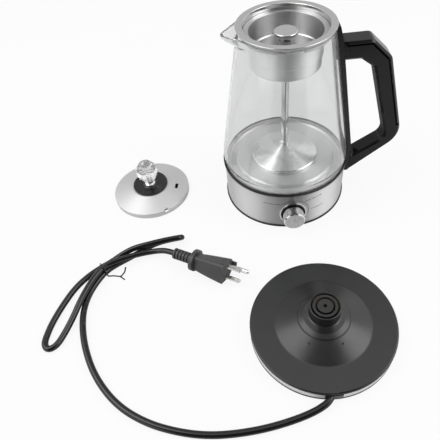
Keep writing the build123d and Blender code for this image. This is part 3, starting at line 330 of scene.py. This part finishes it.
# The darker and the paler tone of a material, as shares of its colour, and where its noise reaches them.
PLASTIC_TONES = (0.86, 1.14)
PLASTIC_STOPS = (0.25, 0.75)
TURNED_TONES = (0.94, 1.05)
SPUN_TONES = (0.93, 1.06)
STEEL_STOPS = (0.3, 0.7)
SPECKLE_TONES = [(0.3, 0.6), (0.55, 1.0), (0.75, 1.5)]  # stop and tone
SPECKLE_RELIEF = 0.1
# How far the roughness goes below and above its middle: as shares of it, or as such.
PLASTIC_WEAR = (0.85, 1.15)
STEEL_WEAR = (-0.05, 0.07)
METAL_WEAR = (-0.05, 0.08)
SMOOTHEST_METAL = 0.03
# Between which parts of the normal along an axis a face comes to count as one of its kind.
GRIP_FACES = (-0.6, -0.8)  # X
UNDER_FACES = (-0.6, -0.9)  # Z
UPPER_FACES = (0.3, 0.7)  # Z
END_FACES = (-0.8, -0.97)  # Y
INNER_FACES = (-0.004, -0.016)  # m: the reach from the axis along the normal
CLEAR_SHADOW = (0.93, 0.93, 0.93, 1)  # how much light clear pieces let through to what they shade


def moulded(name, colour, gloss, grain, fineness, shine=0.5, grip=None):
    """Moulded plastic: spark-eroded grain, fineness to the metre, and faint wear in tone and gloss.

    grip is the roughness of faces that look towards -X, where fingers hold the handle.
    """
    paint = Paint(name, Base_Color=(*colour, 1), Roughness=gloss, Specular_IOR_Level=shine)
    tones = [tuple(part * tone for part in colour) for tone in PLASTIC_TONES]
    paint.feed("Base Color", paint.ramp(paint.noise(TINTS, detail=4.0), zip(PLASTIC_STOPS, tones)))
    wear = paint.fit(paint.noise(WEAR), (0.0, 1.0), [gloss * share for share in PLASTIC_WEAR])
    if grip is not None:
        wear = paint.calc("MAXIMUM", wear, paint.facing("X", GRIP_FACES, grip))
    paint.feed("Roughness", wear)
    paint.bump(paint.noise((fineness,) * 3, detail=2.0), grain, GRAIN_DEPTH)
    return paint.material


def brushed(name, level, gloss, stretch):
    """Steel whose lines run round the upright axis; stretch draws its highlights out across them."""
    paint = Paint(name, Base_Color=(level, level, level, 1), Metallic=1.0, Roughness=gloss,
                  Anisotropic=stretch, Anisotropic_Rotation=0.25)
    tangent = paint.add("Tangent", direction_type="RADIAL", axis="Z")
    paint.feed("Tangent", tangent.outputs["Tangent"])
    return paint


def streaks(paint, streak, level, tones, gloss):
    """The tone and the roughness that follow the lines of a brushed steel."""
    levels = [min(level * tone, 1.0) for tone in tones]
    tone = paint.ramp(streak, zip(STEEL_STOPS, levels))
    return tone, paint.fit(streak, (0.0, 1.0), [gloss + more for more in STEEL_WEAR])


def turned_steel(name, level, gloss, lines, stretch, underside=None, inside=None):
    """Steel turned on its side walls, with level lines.

    underside is the roughness of faces that look down. inside is the share of its colour that the
    steel keeps where it looks towards the axis or up, as in a cup: a painted shade inside the cup.
    """
    paint = brushed(name, level, gloss, stretch)
    streak = paint.noise(LEVEL_LINES)
    tone, polish = streaks(paint, streak, level, TURNED_TONES, gloss)
    if underside is not None:
        polish = paint.calc("MAXIMUM", polish, paint.facing("Z", UNDER_FACES, underside))
    if inside is not None:
        # painted shade: the steel's colour is darker where it faces the axis or up, inside the cup
        painted_shade = paint.add("MixRGB", blend_type="MULTIPLY")
        painted_shade.inputs["Color2"].default_value = (inside, inside, inside, 1)
        within = paint.calc("MAXIMUM", paint.inward(), paint.facing("Z", UPPER_FACES))
        paint.link(within, painted_shade.inputs["Fac"])
        paint.link(tone, painted_shade.inputs["Color1"])
        tone = painted_shade.outputs["Color"]
    paint.feed("Base Color", tone)
    paint.feed("Roughness", polish)
    paint.bump(streak, lines, LINE_DEPTH)
    return paint.material


def spun_steel(name, level, gloss, lines, stretch, centre=(0, 0)):
    """Steel polished in rings round the upright axis through centre, in mm."""
    paint = brushed(name, level, gloss, stretch)
    away = paint.add("VectorMath", operation="SUBTRACT")
    away.inputs[1].default_value = (centre[0] * MM, centre[1] * MM, 0)
    paint.link(paint.add("TexCoord").outputs["Object"], away.inputs[0])
    place = paint.split(away.outputs["Vector"])
    flat = paint.add("CombineXYZ")
    paint.link(place["X"], flat.inputs["X"])
    paint.link(place["Y"], flat.inputs["Y"])
    reach = paint.add("VectorMath", operation="LENGTH")
    paint.link(flat.outputs["Vector"], reach.inputs[0])
    rings = paint.add("CombineXYZ")
    paint.link(paint.calc("MULTIPLY", reach.outputs["Value"], RINGS_PER_METRE), rings.inputs["X"])
    paint.link(paint.calc("MULTIPLY", place["Z"], RINGS_PER_METRE), rings.inputs["Z"])
    streak = paint.noise_at(rings.outputs["Vector"])
    tone, polish = streaks(paint, streak, level, SPUN_TONES, gloss)
    paint.feed("Base Color", tone)
    paint.feed("Roughness", polish)
    paint.bump(streak, lines, LINE_DEPTH)
    return paint.material


def plain_metal(name, colour, gloss, scratch):
    """Plated or polished metal with faint uneven polish."""
    paint = Paint(name, Base_Color=(*colour, 1), Metallic=1.0, Roughness=gloss)
    wear = [max(gloss + more, SMOOTHEST_METAL) for more in METAL_WEAR]
    paint.feed("Roughness", paint.fit(paint.noise(POLISH, detail=4.0), (0.0, 1.0), wear))
    paint.bump(paint.noise(SCRATCHES, detail=2.0), scratch, SCRATCH_DEPTH)
    return paint.material


def face_turned(name, side, side_gloss, face, face_gloss):
    """A chromed knob that points along -Y: its end is duller and speckled, its side polished."""
    paint = Paint(name, Base_Color=(side, side, side, 1), Metallic=1.0, Roughness=side_gloss)
    on_face = paint.facing("Y", END_FACES)
    speckle = paint.noise(SPECKLES, detail=4.0, roughness=0.8)
    dull = paint.ramp(speckle, [(stop, face * tone) for stop, tone in SPECKLE_TONES])
    tone = paint.add("MixRGB")
    tone.inputs["Color1"].default_value = (side, side, side, 1)
    paint.link(on_face, tone.inputs["Fac"])
    paint.link(dull, tone.inputs["Color2"])
    paint.feed("Base Color", tone.outputs["Color"])
    paint.feed("Roughness", paint.fit(on_face, (0.0, 1.0), (side_gloss, face_gloss)))
    paint.bump(speckle, SPECKLE_RELIEF, LINE_DEPTH)
    return paint.material


def clear(name, colour, gloss, ior, ripple, share):
    """Clear glass or acrylic that sends share of the light through. Its shadow is pale."""
    paint = Paint(name, Base_Color=(*colour, 1), Roughness=gloss, IOR=ior, Transmission_Weight=share)
    paint.bump(paint.noise(RIPPLES, detail=1.5), ripple, RIPPLE_DEPTH)
    through = paint.add("BsdfTransparent")
    through.inputs["Color"].default_value = CLEAR_SHADOW
    shadow = paint.add("LightPath").outputs["Is Shadow Ray"]
    mixed = paint.mix(shadow, paint.shader.outputs["BSDF"], through.outputs["BSDF"])
    paint.link(mixed, paint.surface)
    return paint.material


# ---------------------------------------------------------------- materials, and what wears them
under_black = moulded("under_black", (0.016, 0.016, 0.0165), gloss=0.45, grain=0.14, fineness=1800)
mark_ink = moulded("mark_ink", (0.03, 0.03, 0.03), gloss=0.5, grain=0.05, fineness=2400)
cord_vinyl = moulded("cord_vinyl", (0.006, 0.006, 0.0062), gloss=0.18, grain=0.05, fineness=1500)

cord.data.materials.append(cord_vinyl)
dress(under_black, "base_bottom_cover", "jug_bottom_cover")
dress(moulded("base_black", (0.013, 0.013, 0.0133), gloss=0.3, grain=0.1, fineness=2600, shine=0.6),
      "base_top_cover", "cord_gland")
dress(moulded("boss_black", (0.013, 0.013, 0.0133), gloss=0.36, grain=0.06, fineness=2600, shine=0.55),
      "base_connector")
dress(moulded("ring_black", (0.008, 0.008, 0.008), gloss=0.28, grain=0.04, fineness=2600, shine=0.35),
      "jug_top_ring", "handle_strap")
dress(moulded("handle_black", (0.006, 0.006, 0.0062), gloss=0.15, grain=0.03, fineness=2200, shine=0.26,
              grip=0.6), "handle_body")
dress(moulded("cover_black", (0.007, 0.007, 0.0072), gloss=0.2, grain=0.03, fineness=2200, shine=0.36),
      "handle_cover")
dress(moulded("bezel_black", (0.008, 0.008, 0.008), gloss=0.3, grain=0.05, fineness=2600, shine=0.35),
      "knob_bezel")
dress(moulded("disc_black", (0.009, 0.009, 0.0092), gloss=0.2, grain=0.3, fineness=1100), "lid_disc")
dress(moulded("plug_vinyl", (0.054, 0.054, 0.055), gloss=0.42, grain=0.12, fineness=1900),
      "plug_body", "plug_relief")
dress(moulded("tie_vinyl", (0.008, 0.008, 0.008), gloss=0.2, grain=0.1, fineness=1200), "cord_tie")
dress(moulded("foot_rubber", (0.03, 0.03, 0.03), gloss=0.7, grain=0.2, fineness=900), "base_feet")
dress(moulded("silicone", (0.42, 0.42, 0.41), gloss=0.35, grain=0.05, fineness=900), "glass_gasket")
dress(moulded("socket_black", (0.02, 0.02, 0.02), gloss=0.5, grain=0.1, fineness=1800),
      "jug_socket", "rotary_switch")

dress(turned_steel("band_steel", 0.6, gloss=0.52, lines=0.25, stretch=0.95), "jug_band")
dress(turned_steel("rim_steel", 0.88, gloss=0.3, lines=0.06, stretch=0.8), "base_rim_band")
# inside=0.66 paints shade on the basket's inner walls and floor
dress(turned_steel("basket_steel", 0.92, gloss=0.36, lines=0.15, stretch=0.92, underside=0.8, inside=0.66),
      "tea_basket", "basket_sleeve")
dress(spun_steel("plate_steel", 0.8, gloss=0.42, lines=0.2, stretch=0.8), "heating_plate")
dress(spun_steel("infuser_steel", 0.68, gloss=0.14, lines=0.08, stretch=0.4),
      "infuser_collar", "spray_cap")
dress(spun_steel("bell_steel", 0.93, gloss=0.22, lines=0.05, stretch=0.85), "bell_cone", "bell_collar")
dress(spun_steel("lid_steel", 0.66, gloss=0.52, lines=0.25, stretch=0.4, centre=LID_CENTRE),
      "lid_shell", "lid_skirt")

dress(plain_metal("stem_steel", (0.74, 0.74, 0.75), gloss=0.1, scratch=0.05), "riser_tube", "lid_stem")
dress(plain_metal("trim_chrome", (0.66, 0.66, 0.67), gloss=0.16, scratch=0.08), "bezel_trim")
dress(plain_metal("blade_nickel", (0.8, 0.8, 0.78), gloss=0.22, scratch=0.15),
      "plug_blades", "plug_ground_pin")
dress(plain_metal("contact_brass", (0.16, 0.12, 0.06), gloss=0.45, scratch=0.1),
      "connector_contacts", "socket_contacts")
dress(plain_metal("zinc", (0.62, 0.62, 0.62), gloss=0.3, scratch=0.2),
      "base_screws", "knob_shaft", "lid_screw", "switch_bracket", "thermal_cutout")
dress(plain_metal("black_zinc", (0.05, 0.05, 0.05), gloss=0.35, scratch=0.2), "handle_screws")
dress(plain_metal("heater_metal", (0.55, 0.53, 0.5), gloss=0.4, scratch=0.3),
      "heater_tube", "heater_spreader")
dress(face_turned("knob_chrome", side=0.76, side_gloss=0.1, face=0.5, face_gloss=0.36), "control_knob")

dress(clear("jug_glass", (0.86, 0.865, 0.865), gloss=0.0, ior=1.46, ripple=0.05, share=0.92), "jug_glass")
dress(clear("cut_acrylic", (1.0, 1.0, 1.0), gloss=0.0, ior=1.49, ripple=0.0, share=0.82), "lid_knob")
dress(clear("clear_silicone", (0.88, 0.88, 0.88), gloss=0.25, ior=1.41, ripple=0.1, share=0.5),
      "infuser_seal")

# ---------------------------------------------------------------- marks round the knob
INK_DEPTH = 0.06  # mm
INK_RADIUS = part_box("jug_band")[1].x / MM + INK_DEPTH  # the ink lies on the outside of the steel band
ARC_RADIUS = 18.2
ARC_WIDTH = 0.5
ARC_DEGREES = range(-50, 106, 5)  # clockwise from the top of the knob
DASH_WIDTH = 0.9
# Each mark runs between two points: mm of arc from the knob's axis, and height.
MARKS = [((-33.5, 35.2), (-15.0, 35.2)), ((13.5, 36.8), (34.0, 39.2)), ((21.5, 22.0), (37.0, 22.3))]
# The shares of a mark's length at which its dashes start and end.
DASHES = [(0.0, 0.16), (0.21, 0.34), (0.39, 0.62), (0.67, 0.78), (0.83, 1.0)]


def add_piece(name, corners, faces, material, body):
    """A piece of the scene's own, from corners in mm."""
    mesh = bpy.data.meshes.new(name)
    mesh.from_pydata([(x * MM, y * MM, z * MM) for x, y, z in corners], [], faces)
    mesh.materials.append(material)
    piece = bpy.data.objects.new(name, mesh)
    bpy.context.scene.collection.objects.link(piece)
    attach(piece, body)


def band_strip(name, path, width):
    """A thin printed line on the steel band, along points of mm of arc and height."""
    corners = []
    for step, (across, height) in enumerate(path):
        ahead = path[min(step + 1, len(path) - 1)]
        behind = path[max(step - 1, 0)]
        run = Vector((ahead[0] - behind[0], ahead[1] - behind[1])).normalized()
        for side in (-0.5, 0.5):
            angle = (across - run.y * side * width) / INK_RADIUS
            corners.append((INK_RADIUS * math.sin(angle), -INK_RADIUS * math.cos(angle),
                            height + run.x * side * width))
    faces = [(2 * i, 2 * i + 2, 2 * i + 3, 2 * i + 1) for i in range(len(path) - 1)]
    add_piece(name, corners, faces, mark_ink, "jug")


def between(start, end, share):
    """The point that lies share of the way from start to end."""
    return tuple(a + (b - a) * share for a, b in zip(start, end))


def make_marks():
    """An arc round the knob, and a row of dashes in place of each word."""
    turns = [math.radians(degrees) for degrees in ARC_DEGREES]
    arc = [(ARC_RADIUS * math.sin(turn), KNOB_CENTRE.z + ARC_RADIUS * math.cos(turn)) for turn in turns]
    band_strip("mark_arc", arc, ARC_WIDTH)
    for number, (start, end) in enumerate(MARKS):
        for dash, (first, last) in enumerate(DASHES):
            steps = [between(start, end, share) for share in (first, (first + last) / 2, last)]
            band_strip(f"mark_{number}_{dash}", steps, DASH_WIDTH)


make_marks()


# ---------------------------------------------------------------- painted shade under the lid's shell
LID_SHADE_RINGS = [(13.0, 6.4), (24.0, 6.4), (37.0, 3.2)]  # radius and height, in mm
LID_SHADE_SIDES = 96


def make_lid_shade():
    """The dark ring inside the lid, a painted shade that shows through the steam slot."""
    turns = [math.tau * i / LID_SHADE_SIDES for i in range(LID_SHADE_SIDES)]
    corners = [(LID_CENTRE.x + radius * math.cos(turn), LID_CENTRE.y + radius * math.sin(turn), height)
               for radius, height in LID_SHADE_RINGS for turn in turns]
    faces = []
    for inner in range(0, LID_SHADE_SIDES * (len(LID_SHADE_RINGS) - 1), LID_SHADE_SIDES):
        outer = inner + LID_SHADE_SIDES
        for i in range(LID_SHADE_SIDES):
            after = (i + 1) % LID_SHADE_SIDES
            faces.append((inner + i, inner + after, outer + after, outer + i))
    # a dark sheet standing in for the shadowed inside of the lid
    add_piece("lid_painted_shade", corners, faces, under_black, "lid")


make_lid_shade()

# ---------------------------------------------------------------- studio
FLOOR_SIZE = 8.0  # m
FLOOR_FRONT = -0.345  # m: just outside the picture
FLOOR_HEIGHT = -0.0002  # m: just under what stands on it
FLOOR_GREY = (0.93, 0.93, 0.93, 1)
FLOOR_WHITE_SEEN = 0.88  # the share of plain white in the floor as the camera sees it, also through glass
FLOOR_WHITE_MIRRORED = 0.08  # the same in reflections
WORLD_LIGHT = 0.48  # what the world gives to matt surfaces
ROOM_GREY = (0.8, 0.8, 0.8, 1)
ROOM_LIGHT = 1.4
# The room that metal and glass show: light by height, by distance to the sides, and from front to back.
ROOM_HEIGHT = [(0.0, 0.57), (0.3, 0.53), (0.62, 0.55), (0.8, 0.66), (0.93, 1.0), (1.0, 1.0)]
ROOM_SIDES = [(0.0, 0.0), (0.42, 0.0), (0.6, 1.0), (1.0, 1.0)]
ROOM_DEPTH = [(0.0, 0.2), (0.2, 0.12), (0.3, 0.05), (0.36, 0.3), (0.45, 1.0)]
LAMP_SIDE = 1.05  # m
LAMP_AIM = (-0.05, -0.1, 0.05)


def make_floor():
    """A plain pale floor that keeps the shadows."""
    centre = (0, FLOOR_FRONT + FLOOR_SIZE / 2, FLOOR_HEIGHT)
    bpy.ops.mesh.primitive_plane_add(size=FLOOR_SIZE, location=centre)
    floor = bpy.context.object
    floor.name = "floor"
    paint = Paint("floor", Base_Color=FLOOR_GREY, Roughness=0.9, Specular_IOR_Level=0.1)
    glow = paint.add("Emission")
    glow.inputs["Color"].default_value = WHITE
    glow.inputs["Strength"].default_value = 1.0
    path = paint.add("LightPath").outputs
    seen = paint.calc("MAXIMUM", path["Is Camera Ray"], path["Is Transmission Ray"])
    share = paint.calc("MAXIMUM", paint.calc("MULTIPLY", seen, FLOOR_WHITE_SEEN),
                       paint.calc("MULTIPLY", path["Is Glossy Ray"], FLOOR_WHITE_MIRRORED))
    paint.link(paint.mix(share, paint.shader.outputs["BSDF"], glow.outputs["Emission"]), paint.surface)
    floor.data.materials.append(paint.material)


def make_world():
    """White to the camera; to metal and glass a room with bright side walls and a dark front."""
    world = bpy.data.worlds.new("studio")
    bpy.context.scene.world = world
    world.use_nodes = True
    matt = world.node_tree.nodes["Background"]
    matt.inputs["Color"].default_value = WHITE
    matt.inputs["Strength"].default_value = WORLD_LIGHT
    graph = Graph(world.node_tree)
    white = graph.add("Background")
    white.inputs["Color"].default_value = WHITE
    room = graph.add("Background")
    room.inputs["Color"].default_value = ROOM_GREY
    towards = graph.split(graph.add("TexCoord").outputs["Generated"])
    height = graph.ramp(towards["Z"], ROOM_HEIGHT)
    sides = graph.ramp(graph.calc("ABSOLUTE", towards["X"]), ROOM_SIDES)
    to_back = graph.calc("ADD", graph.calc("MULTIPLY", towards["Y"], 0.5), 0.5)
    depth = graph.ramp(to_back, ROOM_DEPTH)
    level = graph.calc("MULTIPLY", graph.calc("MAXIMUM", height, sides),
                       graph.calc("MAXIMUM", depth, sides))
    graph.link(graph.calc("MULTIPLY", level, ROOM_LIGHT), room.inputs["Strength"])
    path = graph.add("LightPath").outputs
    mirrored = graph.calc("MAXIMUM", path["Is Glossy Ray"], path["Is Transmission Ray"])
    lit = graph.mix(mirrored, matt.outputs["Background"], room.outputs["Background"])
    final = graph.mix(path["Is Camera Ray"], lit, white.outputs["Background"])
    graph.link(final, world.node_tree.nodes["World Output"].inputs["Surface"])


def softbox(name, place, power):
    """A square lamp that looks at the middle of the table."""
    data = bpy.data.lights.new(name, "AREA")
    data.size = LAMP_SIDE
    data.energy = power
    lamp = bpy.data.objects.new(name, data)
    lamp.location = place
    lamp.rotation_euler = (Vector(LAMP_AIM) - Vector(place)).to_track_quat("-Z", "Y").to_euler()
    bpy.context.scene.collection.objects.link(lamp)


make_floor()
make_world()
softbox("key", (-0.94, -0.1, 1.31), power=8.5)
softbox("fill", (1.17, -0.36, 1.14), power=9.0)
bpy.context.scene.view_settings.view_transform = "Standard"

bpy.context.view_layer.update()
